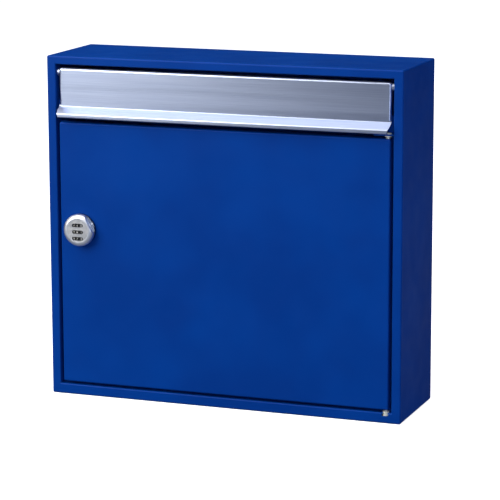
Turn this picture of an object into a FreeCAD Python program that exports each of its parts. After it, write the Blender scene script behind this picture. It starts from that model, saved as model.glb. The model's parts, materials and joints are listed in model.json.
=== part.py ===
import FreeCAD, Part
import math
import os

# A wall mailbox of folded sheet steel: letters go in under a stainless flap at the top of the front,
# and come out through a door below it, hung on two pins and closed by a three-wheel number lock.
# Millimetres. +X is to the right of someone facing the front, +Y goes into the wall, +Z is up.
# The origin is the centre of the four wall holes, on the face that lies on the wall.

V = FreeCAD.Vector

# ---- Case
WIDTH = 360.0
HEIGHT = 336.0
DEPTH = 102.0
SHEET = 1.0  # steel of the case, the rail and the door
BEND = 1.6  # outer radius of a fold in that steel
SIDE_FLANGE = 9.0  # front flange beside the openings
TOP_FLANGE = 8.2
BOTTOM_FLANGE = 10.2
STOP_LIP = 6.0  # inward lip that the door closes against
STOP_CLEARANCE = 1.5  # from the door's back to the stop lip
BACK_FLANGE = 14.0  # how far the back panel's edges are folded forward
BACK_FIT = 0.1  # between those edges and the case
DRAIN_RADIUS = 3.0
DRAIN_SPACING = 240.0
DRAIN_FROM_BACK = 30.0

# ---- Wall holes
HOLE_SPACING_X = 260.0
HOLE_SPACING_Z = 220.0
HOLE_RADIUS = 3.25

# ---- Flap over the letter slot
FLAP_SHEET = 0.8
FLAP_BEND = 2.4
FLAP_TOP_GAP = 3.6
FLAP_SIDE_GAP = 3.0
FLAP_HEIGHT = 37.2  # from its top edge to the fold of its lip
FLAP_RECESS = 2.0  # behind the front face
FLAP_RIM = 3.5  # depth of the rim folded back round its top and sides
LIP_REACH = 9.5  # how far the finger lip stands out
LIP_SLOPE_DROP = 6.2
LIP_EDGE_DROP = 3.8  # the upright edge below the slope
LIP_BEND = 1.6
LIP_TAPER = 2.2  # cut off each end of the lip's edge
HEM_RADIUS = 0.95  # outside of the folded edge
HEM_BACK = 1.8
FLAP_AXIS_DROP = 4.4  # pivot below the flap's top
FLAP_AXIS_BACK = 4.4  # pivot behind the flap's face
FLAP_EAR_RADIUS = 4.2
FLAP_PIN_RADIUS = 1.25
FLAP_PIN_HEAD_RADIUS = 2.0
FLAP_PIN_HEAD = 1.4
FLAP_PIN_BEYOND = 2.5  # past the case's fold
FLAP_SPACER_RADIUS = 3.6
SPACER_CLEARANCE = 0.25

# ---- Rail between the slot and the door
RAIL_OVERLAP = 6.0  # rail's top above the fold of the lip
RAIL_HEIGHT = 17.0
RAIL_SETBACK = 7.5
RAIL_DEPTH = 13.0
RAIL_HEM = 5.0
BUMPER_CLEARANCE = 0.2
FLAP_BUMPER_RADIUS = 2.1
FLAP_BUMPER_INSET = 26.0  # from the edge of the opening
FLAP_BUMPER_RISE = 2.6  # above the fold of the lip

# ---- Door
DOOR_SIDE_GAP = 3.2
DOOR_BOTTOM_GAP = 2.8
DOOR_TOP_GAP = 4.4
DOOR_DEPTH = 9.5
DOOR_LIP = 6.0
DOOR_BUMPER_RADIUS = 2.4
DOOR_BUMPER_INSET = 3.3  # from the edge of the opening
DOOR_BUMPER_END = 36.0  # from the door's ends

# ---- Door hinge
PIVOT_INSET = 2.0  # from the inside of the door's right fold
PIVOT_DEPTH = 4.0  # behind the front face
PIN_RADIUS = 1.5
PIN_COLLAR_RADIUS = 2.5
PIN_HEAD_RADIUS = 1.9
PIN_HEAD = 1.2
PIN_END = 0.6  # past the bush
BUSH_RADIUS = 2.5
BUSH_FLANGE_RADIUS = 3.2
BUSH_FLANGE = 1.0
BUSH_TAIL = 2.0  # flange on the far side of the plate that holds the lower bush
UPPER_BUSH_TAIL = 0.8
RUNNING = 0.05  # radial clearance of a pin that turns
PRESSED = 0.02  # radial clearance drawn for a pin that is pressed in
HINGE_PLATE = 2.0
HINGE_PLATE_LENGTH = 20.0
BRACKET = 1.5
BRACKET_LEFT = 14.0  # from the pivot
BRACKET_FRONT = 0.8  # behind the front face
BRACKET_BACK = 17.0
BRACKET_SCREW_X = (-10.5, -3.5)  # from the pivot
BRACKET_SCREW_DEPTH = 13.0
SMALL_SCREW_RADIUS = 1.5
SMALL_HEAD_RADIUS = 2.5
SMALL_HEAD = 1.7
SMALL_SCREW_BEYOND = 2.0

# ---- Lock
LOCK_INSET = 21.6  # from the door's left edge
LOCK_DROP = 1.0  # below the middle of the case
KNOB_BARREL_RADIUS = 12.3
KNOB_FIT = 0.1
HOUSING_WALL = 1.3
HOUSING_LEDGE = 2.1  # of its flange, and of the knob, past its sleeve
GASKET = 0.5
GASKET_INSET = 0.4
HOUSING_FLANGE = 2.5
HOUSING_BEHIND = 12.0  # behind the door's face
NUT_WALL = 2.3  # at its flats
NUT = 3.0
LIP_RELIEF = 4.0  # past the nut's flats, which clears its corners
KNOB_PROUD = 9.0  # from the door's face to the knob's
KNOB_GAP = 0.2
KNOB_RIM_HEIGHT = 2.6  # upright part of the knob's rim
KNOB_CUT = 3.1  # depth of the flat on the knob's rim
KNOB_CUT_ANGLE = 28.0  # of the flat, above +X
KNOB_BEVEL = 4.9  # from its rim to its face
FACE_PLATE = 0.8
CLIP = 0.8
CLIP_GROOVE = 0.6
CLIP_REACH = 1.2  # past the barrel
CLIP_OPENING = 50.0  # degrees
STRIKE = 1.2
STRIKE_HEIGHT = 32.0
STRIKE_PAST_LIP = 1.0
CAM_CLEARANCE = 0.3
CAM = 2.0
CAM_LENGTH = 23.8
CAM_WIDTH = 12.0
CAM_HUB_RADIUS = 9.0
CAM_SQUARE = 7.0
CAM_FIT = 0.05
WASHER_RADIUS = 5.5
WASHER = 0.8
CAM_SCREW_RADIUS = 2.0
CAM_SCREW_DEPTH = 8.0
CAM_HEAD_RADIUS = 3.8
CAM_HEAD = 2.6

# ---- Number wheels, stacked on an upright axle in the knob
WHEEL_RADIUS = 6.4
WHEEL_PROUD = 0.6
WHEEL_THICKNESS = 3.1
WHEEL_PITCH = 6.6
WHEEL_DROP = 1.3  # middle wheel below the knob's axis
WHEEL_ROOM = 0.3
WHEEL_END_ROOM = 0.15
WHEEL_NOTCHES = 10
WHEEL_NOTCH_RADIUS = 0.45
WINDOW_WIDTH = 11.7
WINDOW_HEIGHT = 3.5
WINDOW_DEPTH = 3.0
AXLE_RADIUS = 1.0
AXLE_REACH = 11.2
LEAF = 0.4
LEAF_WIDTH = 5.0
LEAF_ROOM = 0.5

# ---- Places worked out from those sizes
X_SIDE = WIDTH / 2
Z_TOP = HEIGHT / 2
Z_BOTTOM = -HEIGHT / 2
Y_FRONT = -DEPTH
OPEN_X = X_SIDE - SIDE_FLANGE
OPEN_TOP = Z_TOP - TOP_FLANGE
OPEN_BOTTOM = Z_BOTTOM + BOTTOM_FLANGE
RETURN_DEPTH = DOOR_DEPTH + STOP_CLEARANCE + SHEET
Y_STOP_BACK = Y_FRONT + RETURN_DEPTH
Y_STOP_FRONT = Y_STOP_BACK - SHEET

FLAP_X = OPEN_X - FLAP_SIDE_GAP
FLAP_TOP = OPEN_TOP - FLAP_TOP_GAP
FLAP_FOLD = FLAP_TOP - FLAP_HEIGHT
Y_FLAP = Y_FRONT + FLAP_RECESS
Y_FLAP_AXIS = Y_FLAP + FLAP_AXIS_BACK
Z_FLAP_AXIS = FLAP_TOP - FLAP_AXIS_DROP

RAIL_TOP = FLAP_FOLD + RAIL_OVERLAP
RAIL_BOTTOM = RAIL_TOP - RAIL_HEIGHT
Y_RAIL = Y_FRONT + RAIL_SETBACK
Y_RAIL_BACK = Y_RAIL + RAIL_DEPTH

DOOR_X = OPEN_X - DOOR_SIDE_GAP
DOOR_TOP = RAIL_BOTTOM - DOOR_TOP_GAP
DOOR_BOTTOM = OPEN_BOTTOM + DOOR_BOTTOM_GAP
Y_DOOR_BACK = Y_FRONT + DOOR_DEPTH
X_PIVOT = DOOR_X - SHEET - PIVOT_INSET
Y_PIVOT = Y_FRONT + PIVOT_DEPTH
BRACKET_BOTTOM = RAIL_BOTTOM - BRACKET

X_LOCK = -DOOR_X + LOCK_INSET
Z_LOCK = -LOCK_DROP
HOUSING_RADIUS = KNOB_BARREL_RADIUS + KNOB_FIT + HOUSING_WALL
LOCK_RADIUS = HOUSING_RADIUS + HOUSING_LEDGE
FACE_RADIUS = LOCK_RADIUS - KNOB_BEVEL
CLIP_RADIUS = KNOB_BARREL_RADIUS + CLIP_REACH
NUT_RADIUS = HOUSING_RADIUS + NUT_WALL
NUT_REACH = NUT_RADIUS / math.cos(math.pi / 6)
Y_GASKET = Y_FRONT - GASKET
Y_FLANGE = Y_GASKET - HOUSING_FLANGE
Y_FACE = Y_FRONT - KNOB_PROUD
Y_KNOB_BACK = Y_FLANGE - KNOB_GAP
Y_STRIKE_BACK = Y_STOP_BACK + STRIKE
Y_CAM = Y_STRIKE_BACK + CAM_CLEARANCE
Y_HOUSING_END = Y_FRONT + HOUSING_BEHIND
Y_CLIP = Y_HOUSING_END + KNOB_FIT
Y_WHEELS = Y_FACE - WHEEL_PROUD + WHEEL_RADIUS
WHEEL_NAMES = ("top", "middle", "bottom")
WHEEL_Z = [Z_LOCK - WHEEL_DROP + WHEEL_PITCH * (1 - n) for n in range(len(WHEEL_NAMES))]

PAST = 1.0  # how far a cutter runs past what it cuts


# ---- Shapes that several pieces are made of
def box(x0, x1, y0, y1, z0, z1):
    return Part.makeBox(x1 - x0, y1 - y0, z1 - z0, V(x0, y0, z0))


def rod_x(radius, x0, x1, y, z):
    return Part.makeCylinder(radius, x1 - x0, V(x0, y, z), V(1, 0, 0))


def rod_y(radius, y0, y1, x, z):
    return Part.makeCylinder(radius, y1 - y0, V(x, y0, z), V(0, 1, 0))


def rod_z(radius, z0, z1, x, y):
    return Part.makeCylinder(radius, z1 - z0, V(x, y, z0), V(0, 0, 1))


def fused(first, *others):
    return first.fuse(list(others)).removeSplitter()


def rounded(shape, radius, wanted):
    """Fillets the edges whose middle point the function wanted() accepts."""
    edges = [e for e in shape.Edges if wanted(e.CenterOfMass)]
    return shape.makeFillet(radius, edges)


def pan(x0, x1, y_closed, y_open, z0, z1, thickness, bend):
    """A tray of folded sheet, closed at y_closed, with its folds rounded."""
    inward = 1 if y_open > y_closed else -1
    y_floor = y_closed + inward * thickness
    y_past = y_open + inward * PAST
    y_inner = sorted((y_floor, y_past))
    outer = box(x0, x1, min(y_closed, y_open), max(y_closed, y_open), z0, z1)
    outer = rounded(outer, bend, lambda p: abs(p.y - y_open) > thickness)
    inner = box(x0 + thickness, x1 - thickness, *y_inner, z0 + thickness, z1 - thickness)
    inner = rounded(inner, bend - thickness, lambda p: abs(p.y - y_past) > thickness)
    return outer.cut(inner)


def arc_edge(start, middle, end):
    return Part.Arc(start, middle, end).toShape()


def rounded_line(points, radii):
    """Edges along points in the YZ plane, each inner corner rounded to its radius."""
    spots = [V(0, y, z) for y, z in points]
    edges = []
    here = spots[0]
    for before, corner, after, radius in zip(spots, spots[1:], spots[2:], radii):
        into = (corner - before).normalize()
        out = (after - corner).normalize()
        turn = into.getAngle(out)
        setback = radius * math.tan(turn / 2)
        start = corner - into * setback
        end = corner + out * setback
        towards = (out - into).normalize()
        middle = corner + towards * (radius / math.cos(turn / 2) - radius)
        edges.append(Part.LineSegment(here, start).toShape())
        edges.append(arc_edge(start, middle, end))
        here = end
    edges.append(Part.LineSegment(here, spots[-1]).toShape())
    return edges


def moved_left(points, radii, distance):
    """The points and radii of the same line, a distance to its left."""
    steps = [(b[0] - a[0], b[1] - a[1]) for a, b in zip(points, points[1:])]
    units = [(dy / math.hypot(dy, dz), dz / math.hypot(dy, dz)) for dy, dz in steps]
    normals = [(-uz, uy) for uy, uz in units]
    moved = [(points[0][0] + normals[0][0] * distance, points[0][1] + normals[0][1] * distance)]
    new_radii = []
    for n, (a, b) in enumerate(zip(normals, normals[1:])):
        share = distance / (1 + a[0] * b[0] + a[1] * b[1])
        corner = points[n + 1]
        moved.append((corner[0] + (a[0] + b[0]) * share, corner[1] + (a[1] + b[1]) * share))
        turns_left = units[n][0] * units[n + 1][1] - units[n][1] * units[n + 1][0] > 0
        new_radii.append(radii[n] - distance if turns_left else radii[n] + distance)
    moved.append((points[-1][0] + normals[-1][0] * distance, points[-1][1] + normals[-1][1] * distance))
    return moved, new_radii


def folded_sheet(points, radii, thickness, x0, x1):
    """Sheet that follows points (y, z) on one side, with its thickness on their left, from x0 to x1."""
    inner, inner_radii = moved_left(points, radii, thickness)
    one = rounded_line(points, radii)
    other = rounded_line(inner, inner_radii)
    ends = [
        Part.LineSegment(V(0, *points[0]), V(0, *inner[0])).toShape(),
        Part.LineSegment(V(0, *points[-1]), V(0, *inner[-1])).toShape(),
    ]
    wire = Part.Wire(Part.__sortEdges__(one + other + ends))
    strip = Part.Face(wire).extrude(V(x1 - x0, 0, 0))
    strip.translate(V(x0, 0, 0))
    return strip


def turned(profile, x, z):
    """A solid turned about the axis along Y at x and z. Profile points are (radius, y) or arcs of three."""
    edges = []
    here = None
    for step in profile:
        spots = [V(x + r, y, z) for r, y in (step if isinstance(step[0], tuple) else (step,))]
        if here is not None and (here - spots[0]).Length > 1e-9:
            edges.append(Part.LineSegment(here, spots[0]).toShape())
        if len(spots) == 3:
            edges.append(arc_edge(*spots))
        here = spots[-1]
    first = edges[0].Vertexes[0].Point
    edges.append(Part.LineSegment(here, first).toShape())
    face = Part.Face(Part.Wire(edges))
    return face.revolve(V(x, 0, z), V(0, 1, 0), 360)


# ---- Case pieces
def case_shell():
    """Sides, top, bottom and front flanges folded from one sheet, with the openings' edges folded back."""
    shell = pan(-X_SIDE, X_SIDE, Y_FRONT, 0, Z_BOTTOM, Z_TOP, SHEET, BEND)
    opening = box(-OPEN_X, OPEN_X, Y_FRONT - PAST, Y_STOP_BACK + PAST, OPEN_BOTTOM, OPEN_TOP)
    fold = box(
        -OPEN_X - SHEET, OPEN_X + SHEET, Y_FRONT, Y_STOP_BACK, OPEN_BOTTOM - SHEET, OPEN_TOP + SHEET
    )
    shell = shell.fuse(fold).cut(opening).removeSplitter()
    inside_x = OPEN_X + SHEET / 2
    shell = rounded(
        shell,
        BEND - SHEET / 2,
        lambda p: abs(p.y - Y_FRONT) < 1e-6
        and abs(p.x) < inside_x
        and OPEN_BOTTOM - SHEET / 2 < p.z < OPEN_TOP + SHEET / 2,
    )
    side_lips = [
        box(x, x + STOP_LIP, Y_STOP_FRONT, Y_STOP_BACK, OPEN_BOTTOM, DOOR_TOP)
        for x in (-OPEN_X, OPEN_X - STOP_LIP)
    ]
    bottom_lip = box(-OPEN_X, OPEN_X, Y_STOP_FRONT, Y_STOP_BACK, OPEN_BOTTOM, OPEN_BOTTOM + STOP_LIP)
    shell = fused(shell, bottom_lip, *side_lips)
    x_pins = X_SIDE - SHEET - PAST
    cutters = [
        rod_x(FLAP_PIN_RADIUS + RUNNING, -x_pins, x_pins, Y_FLAP_AXIS, Z_FLAP_AXIS),
        *bush_seat_cutters(),
    ]
    for side in (-1, 1):
        x = side * DRAIN_SPACING / 2
        cutters.append(rod_z(DRAIN_RADIUS, Z_BOTTOM - PAST, Z_BOTTOM + SHEET + PAST, x, -DRAIN_FROM_BACK))
    return shell.cut(cutters)


def bush_seat_cutters():
    """The notch in the bottom flange that the lower bush is pushed into from the front."""
    seat = BUSH_RADIUS + PRESSED
    relief = BUSH_FLANGE_RADIUS + BUMPER_CLEARANCE
    z_low = OPEN_BOTTOM - SHEET - BUSH_TAIL - BUMPER_CLEARANCE
    y_front = Y_FRONT - PAST
    return [
        rod_z(seat, z_low, OPEN_BOTTOM + PAST, X_PIVOT, Y_PIVOT),
        box(X_PIVOT - seat, X_PIVOT + seat, y_front, Y_PIVOT, z_low, OPEN_BOTTOM + PAST),
        box(X_PIVOT - relief, X_PIVOT + relief, y_front, Y_FRONT + SHEET, z_low, OPEN_BOTTOM + PAST),
    ]


def back_panel():
    """Tray that closes the case against the wall, with the four wall holes."""
    x = X_SIDE - SHEET - BACK_FIT
    z = Z_TOP - SHEET - BACK_FIT
    panel = pan(-x, x, 0, -BACK_FLANGE, -z, z, SHEET, BEND)
    holes = [
        rod_y(HOLE_RADIUS, -SHEET - PAST, PAST, sx * HOLE_SPACING_X / 2, sz * HOLE_SPACING_Z / 2)
        for sx in (-1, 1)
        for sz in (-1, 1)
    ]
    return panel.cut(holes)


def cross_rail():
    """Channel welded between the case's sides, under the letter slot and above the door."""
    outline = [
        (Y_RAIL_BACK, RAIL_TOP - RAIL_HEM),
        (Y_RAIL_BACK, RAIL_TOP),
        (Y_RAIL, RAIL_TOP),
        (Y_RAIL, RAIL_BOTTOM),
        (Y_RAIL_BACK, RAIL_BOTTOM),
    ]
    rail = folded_sheet(outline, [BEND] * 3, SHEET, -OPEN_X, OPEN_X)
    holes = [
        rod_z(SMALL_SCREW_RADIUS + PRESSED, RAIL_BOTTOM - PAST, RAIL_BOTTOM + SHEET + PAST, x, y)
        for x, y in bracket_screw_places()
    ]
    return rail.cut(holes)


def bracket_screw_places():
    return [(X_PIVOT + dx, Y_FRONT + BRACKET_SCREW_DEPTH) for dx in BRACKET_SCREW_X]


def upper_hinge_bracket():
    """Plate screwed under the rail, which holds the door's upper bush."""
    corner_x = X_PIVOT - BRACKET_LEFT
    y0, y1 = Y_FRONT + BRACKET_FRONT, Y_FRONT + BRACKET_BACK
    plate = box(corner_x, OPEN_X, y0, y1, BRACKET_BOTTOM, RAIL_BOTTOM)
    plate = rounded(
        plate,
        SMALL_HEAD_RADIUS,
        lambda p: abs(p.x - corner_x) < 1e-6 and abs(p.z - (BRACKET_BOTTOM + RAIL_BOTTOM) / 2) < 1e-6,
    )
    holes = [rod_z(BUSH_RADIUS + PRESSED, BRACKET_BOTTOM - PAST, RAIL_BOTTOM + PAST, X_PIVOT, Y_PIVOT)]
    for x, y in bracket_screw_places():
        holes.append(rod_z(SMALL_SCREW_RADIUS + RUNNING, BRACKET_BOTTOM - PAST, RAIL_BOTTOM + PAST, x, y))
    return plate.cut(holes)


def bracket_screws():
    screws = []
    for x, y in bracket_screw_places():
        shank = rod_z(SMALL_SCREW_RADIUS, BRACKET_BOTTOM, RAIL_BOTTOM + SHEET + SMALL_SCREW_BEYOND, x, y)
        head = rod_z(SMALL_HEAD_RADIUS, BRACKET_BOTTOM - SMALL_HEAD, BRACKET_BOTTOM, x, y)
        head = rounded(head, SMALL_HEAD / 3, lambda p: p.z < BRACKET_BOTTOM - SMALL_HEAD / 2)
        screws.append(fused(head, shank))
    return Part.makeCompound(screws)


def bush(z_near, z_seat, z_far, z_tail):
    """Nylon spool: a flange at the door's side, a waist in the plate, and a flange beyond it."""
    flanges = [
        rod_z(BUSH_FLANGE_RADIUS, min(a, b), max(a, b), X_PIVOT, Y_PIVOT)
        for a, b in ((z_near, z_seat), (z_far, z_tail))
    ]
    z0, z1 = min(z_near, z_tail), max(z_near, z_tail)
    waist = rod_z(BUSH_RADIUS, z0, z1, X_PIVOT, Y_PIVOT)
    bore = rod_z(PIN_RADIUS + RUNNING, z0 - PAST, z1 + PAST, X_PIVOT, Y_PIVOT)
    return fused(waist, *flanges).cut(bore)


def lower_hinge_bush():
    far = OPEN_BOTTOM - SHEET
    return bush(OPEN_BOTTOM + BUSH_FLANGE, OPEN_BOTTOM, far, far - BUSH_TAIL)


def upper_hinge_bush():
    return bush(BRACKET_BOTTOM - BUSH_FLANGE, BRACKET_BOTTOM, RAIL_BOTTOM, RAIL_BOTTOM + UPPER_BUSH_TAIL)


def door_bumpers():
    """Rubber buttons on the stop lip, on the lock's side."""
    x = -OPEN_X + DOOR_BUMPER_INSET
    y_end = Y_DOOR_BACK + BUMPER_CLEARANCE
    places = (DOOR_BOTTOM + DOOR_BUMPER_END, DOOR_TOP - DOOR_BUMPER_END)
    return Part.makeCompound([rod_y(DOOR_BUMPER_RADIUS, y_end, Y_STOP_FRONT, x, z) for z in places])


def flap_bumpers():
    """Rubber buttons on the rail, which the closed flap rests against."""
    y_end = Y_FLAP + FLAP_SHEET + BUMPER_CLEARANCE
    x = OPEN_X - FLAP_BUMPER_INSET
    z = FLAP_FOLD + FLAP_BUMPER_RISE
    return Part.makeCompound([rod_y(FLAP_BUMPER_RADIUS, y_end, Y_RAIL, side * x, z) for side in (-1, 1)])


def strike_plate():
    """Plate welded behind the stop lip, which the lock's cam turns behind."""
    x1 = -OPEN_X + STOP_LIP + STRIKE_PAST_LIP
    z = STRIKE_HEIGHT / 2
    plate = box(-OPEN_X, x1, Y_STOP_BACK, Y_STRIKE_BACK, Z_LOCK - z, Z_LOCK + z)
    y_middle = (Y_STOP_BACK + Y_STRIKE_BACK) / 2
    return rounded(plate, 2 * STRIKE, lambda p: abs(p.x - x1) < 1e-6 and abs(p.y - y_middle) < 1e-6)


# ---- Flap pieces
def flap_plate():
    """Stainless tray with a finger lip folded out along its lower edge."""
    y_rim = Y_FLAP + FLAP_RIM
    lip_start = FLAP_FOLD + LIP_BEND
    tray = pan(-FLAP_X, FLAP_X, Y_FLAP, y_rim, FLAP_FOLD - FLAP_HEIGHT, FLAP_TOP, FLAP_SHEET, FLAP_BEND)
    tray = tray.common(box(-FLAP_X, FLAP_X, Y_FLAP, y_rim, lip_start, FLAP_TOP))
    y_edge = Y_FLAP - LIP_REACH
    z_edge = FLAP_FOLD - LIP_SLOPE_DROP
    z_tip = z_edge - LIP_EDGE_DROP
    y_hem = y_edge + 2 * HEM_RADIUS
    outline = [
        (Y_FLAP, lip_start),
        (Y_FLAP, FLAP_FOLD),
        (y_edge, z_edge),
        (y_edge, z_tip),
        (y_hem, z_tip),
        (y_hem, z_tip + HEM_RADIUS + HEM_BACK),
    ]
    hem = HEM_RADIUS - 0.01  # a hair under half the fold, so that a short straight joins its two arcs
    lip = folded_sheet(outline, [LIP_BEND - FLAP_SHEET, LIP_BEND, hem, hem], FLAP_SHEET, -FLAP_X, FLAP_X)
    for side in (-1, 1):
        corner = [
            V(side * FLAP_X, 0, z_edge + LIP_SLOPE_DROP / 2),
            V(side * (FLAP_X + PAST), 0, z_edge + LIP_SLOPE_DROP / 2),
            V(side * (FLAP_X + PAST), 0, z_tip - PAST),
            V(side * (FLAP_X - LIP_TAPER), 0, z_tip - PAST),
            V(side * (FLAP_X - LIP_TAPER), 0, z_tip),
        ]
        wedge = Part.Face(Part.makePolygon(corner + corner[:1])).extrude(V(0, LIP_REACH + 2 * PAST, 0))
        wedge.translate(V(0, y_edge - PAST, 0))
        lip = lip.cut(wedge)
    pieces = [lip]
    holes = []
    y_ear, z_ear = Y_FLAP + FLAP_BEND, FLAP_TOP - FLAP_BEND
    for side in (-1, 1):
        low, high = sorted((side * FLAP_X, side * (FLAP_X - FLAP_SHEET)))
        ear = rod_x(FLAP_EAR_RADIUS, low, high, Y_FLAP_AXIS, Z_FLAP_AXIS)
        web = box(low, high, y_ear, Y_FLAP_AXIS, Z_FLAP_AXIS - FLAP_EAR_RADIUS, z_ear)
        room = box(low, high, y_ear, Y_FLAP_AXIS + FLAP_EAR_RADIUS, FLAP_FOLD, z_ear)
        pieces.append(ear.fuse(web).common(room))
        holes.append(rod_x(FLAP_PIN_RADIUS + PRESSED, low - PAST, high + PAST, Y_FLAP_AXIS, Z_FLAP_AXIS))
    return fused(tray, *pieces).cut(holes)


def flap_pin(side):
    """Riveted pivot pin: a head inside the flap and a shank out through the case's fold."""
    x_head = FLAP_X - FLAP_SHEET - FLAP_PIN_HEAD
    head = rod_x(FLAP_PIN_HEAD_RADIUS, x_head, FLAP_X - FLAP_SHEET, Y_FLAP_AXIS, Z_FLAP_AXIS)
    shank = rod_x(FLAP_PIN_RADIUS, x_head, OPEN_X + SHEET + FLAP_PIN_BEYOND, Y_FLAP_AXIS, Z_FLAP_AXIS)
    pin = fused(head, shank)
    return pin if side > 0 else pin.mirror(V(0, 0, 0), V(1, 0, 0))


def flap_spacer(side):
    """Collar on the pin that keeps the flap in the middle of the slot."""
    x0, x1 = FLAP_X, OPEN_X - SPACER_CLEARANCE
    ring = rod_x(FLAP_SPACER_RADIUS, x0, x1, Y_FLAP_AXIS, Z_FLAP_AXIS)
    ring = ring.cut(rod_x(FLAP_PIN_RADIUS + PRESSED, x0 - PAST, x1 + PAST, Y_FLAP_AXIS, Z_FLAP_AXIS))
    return ring if side > 0 else ring.mirror(V(0, 0, 0), V(1, 0, 0))


# ---- Door pieces
def door_panel():
    """Door folded into a tray, with a lip round its back."""
    outer = box(-DOOR_X, DOOR_X, Y_FRONT, Y_DOOR_BACK, DOOR_BOTTOM, DOOR_TOP)
    outer = rounded(outer, BEND, lambda p: p.y < Y_DOOR_BACK - SHEET)
    inner = box(
        -DOOR_X + SHEET,
        DOOR_X - SHEET,
        Y_FRONT + SHEET,
        Y_DOOR_BACK - SHEET,
        DOOR_BOTTOM + SHEET,
        DOOR_TOP - SHEET,
    )
    inner = rounded(inner, BEND - SHEET, lambda p: p.y < Y_DOOR_BACK - 2 * SHEET)
    mouth = box(
        -DOOR_X + DOOR_LIP,
        DOOR_X - DOOR_LIP,
        Y_DOOR_BACK - 2 * SHEET,
        Y_DOOR_BACK + PAST,
        DOOR_BOTTOM + DOOR_LIP,
        DOOR_TOP - DOOR_LIP,
    )
    relief = rod_y(NUT_RADIUS + LIP_RELIEF, Y_DOOR_BACK - 2 * SHEET, Y_DOOR_BACK + PAST, X_LOCK, Z_LOCK)
    inner_space = box(
        -DOOR_X + SHEET, DOOR_X - SHEET, Y_FRONT, Y_DOOR_BACK + PAST, DOOR_BOTTOM + SHEET, DOOR_TOP - SHEET
    )
    cutters = [
        inner,
        mouth,
        rod_y(HOUSING_RADIUS + KNOB_FIT, Y_FRONT - PAST, Y_FRONT + SHEET + PAST, X_LOCK, Z_LOCK),
        relief.common(inner_space),
        rod_z(PIN_RADIUS + PRESSED, DOOR_BOTTOM - PAST, DOOR_BOTTOM + SHEET + PAST, X_PIVOT, Y_PIVOT),
        rod_z(PIN_RADIUS + PRESSED, DOOR_TOP - SHEET - PAST, DOOR_TOP + PAST, X_PIVOT, Y_PIVOT),
    ]
    return outer.cut(cutters)


def door_hinge_plate(z0):
    """Thick plate welded into the door's corner, clear of its folds, which the pin is pressed through."""
    x1 = DOOR_X - BEND
    y0, y1 = Y_FRONT + BEND, Y_DOOR_BACK - SHEET - PRESSED
    plate = box(x1 - HINGE_PLATE_LENGTH, x1, y0, y1, z0, z0 + HINGE_PLATE)
    return plate.cut(rod_z(PIN_RADIUS + PRESSED, z0 - PAST, z0 + HINGE_PLATE + PAST, X_PIVOT, Y_PIVOT))


def hinge_pin(z_head, z_inside, z_face, z_collar, z_end):
    """Pin with a head inside the door, a collar that bears on the bush and a plain end that turns in it."""
    spans = [
        (PIN_HEAD_RADIUS, z_head, z_inside),
        (PIN_RADIUS, z_head, z_end),
        (PIN_COLLAR_RADIUS, z_face, z_collar),
    ]
    rods = [rod_z(radius, min(a, b), max(a, b), X_PIVOT, Y_PIVOT) for radius, a, b in spans]
    return fused(*rods)


def lower_hinge_pin():
    inside = DOOR_BOTTOM + SHEET + HINGE_PLATE
    end = OPEN_BOTTOM - SHEET - BUSH_TAIL - PIN_END
    return hinge_pin(inside + PIN_HEAD, inside, DOOR_BOTTOM, OPEN_BOTTOM + BUSH_FLANGE + RUNNING, end)


def upper_hinge_pin():
    inside = DOOR_TOP - SHEET - HINGE_PLATE
    end = RAIL_BOTTOM + UPPER_BUSH_TAIL + PIN_END
    return hinge_pin(inside - PIN_HEAD, inside, DOOR_TOP, BRACKET_BOTTOM - BUSH_FLANGE - RUNNING, end)


# ---- Lock pieces
def lock_gasket():
    ring = rod_y(LOCK_RADIUS - GASKET_INSET, Y_GASKET, Y_FRONT, X_LOCK, Z_LOCK)
    return ring.cut(rod_y(HOUSING_RADIUS + KNOB_FIT, Y_GASKET - PAST, Y_FRONT + PAST, X_LOCK, Z_LOCK))


def lock_housing():
    """Die-cast sleeve through the door, with a flange on its face."""
    flange = rod_y(LOCK_RADIUS, Y_FLANGE, Y_GASKET, X_LOCK, Z_LOCK)
    flange = rounded(flange, HOUSING_FLANGE / 4, lambda p: p.y < Y_GASKET - HOUSING_FLANGE / 2)
    sleeve = rod_y(HOUSING_RADIUS, Y_GASKET, Y_HOUSING_END, X_LOCK, Z_LOCK)
    bore = rod_y(KNOB_BARREL_RADIUS + KNOB_FIT, Y_FLANGE - PAST, Y_HOUSING_END + PAST, X_LOCK, Z_LOCK)
    return fused(flange, sleeve).cut(bore)


def lock_nut():
    """Hexagon nut that clamps the housing behind the door."""
    y0 = Y_FRONT + SHEET
    corners = [
        V(X_LOCK + NUT_REACH * math.cos(math.radians(a)), y0, Z_LOCK + NUT_REACH * math.sin(math.radians(a)))
        for a in range(30, 390, 60)
    ]
    nut = Part.Face(Part.makePolygon(corners + corners[:1])).extrude(V(0, NUT, 0))
    return nut.cut(rod_y(HOUSING_RADIUS + PRESSED, y0 - PAST, y0 + NUT + PAST, X_LOCK, Z_LOCK))


def window_cutters(y0, y1):
    """The slots that the wheels show through, with round ends."""
    cutters = []
    for z in WHEEL_Z:
        reach = (WINDOW_WIDTH - WINDOW_HEIGHT) / 2
        half = WINDOW_HEIGHT / 2
        slot = box(X_LOCK - reach, X_LOCK + reach, y0, y1, z - half, z + half)
        ends = [rod_y(half, y0, y1, X_LOCK + side * reach, z) for side in (-1, 1)]
        cutters.append(fused(slot, *ends))
    return cutters


def leaf_span():
    half = WHEEL_PITCH + WHEEL_THICKNESS
    return WHEEL_Z[1] - half, WHEEL_Z[1] + half


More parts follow.
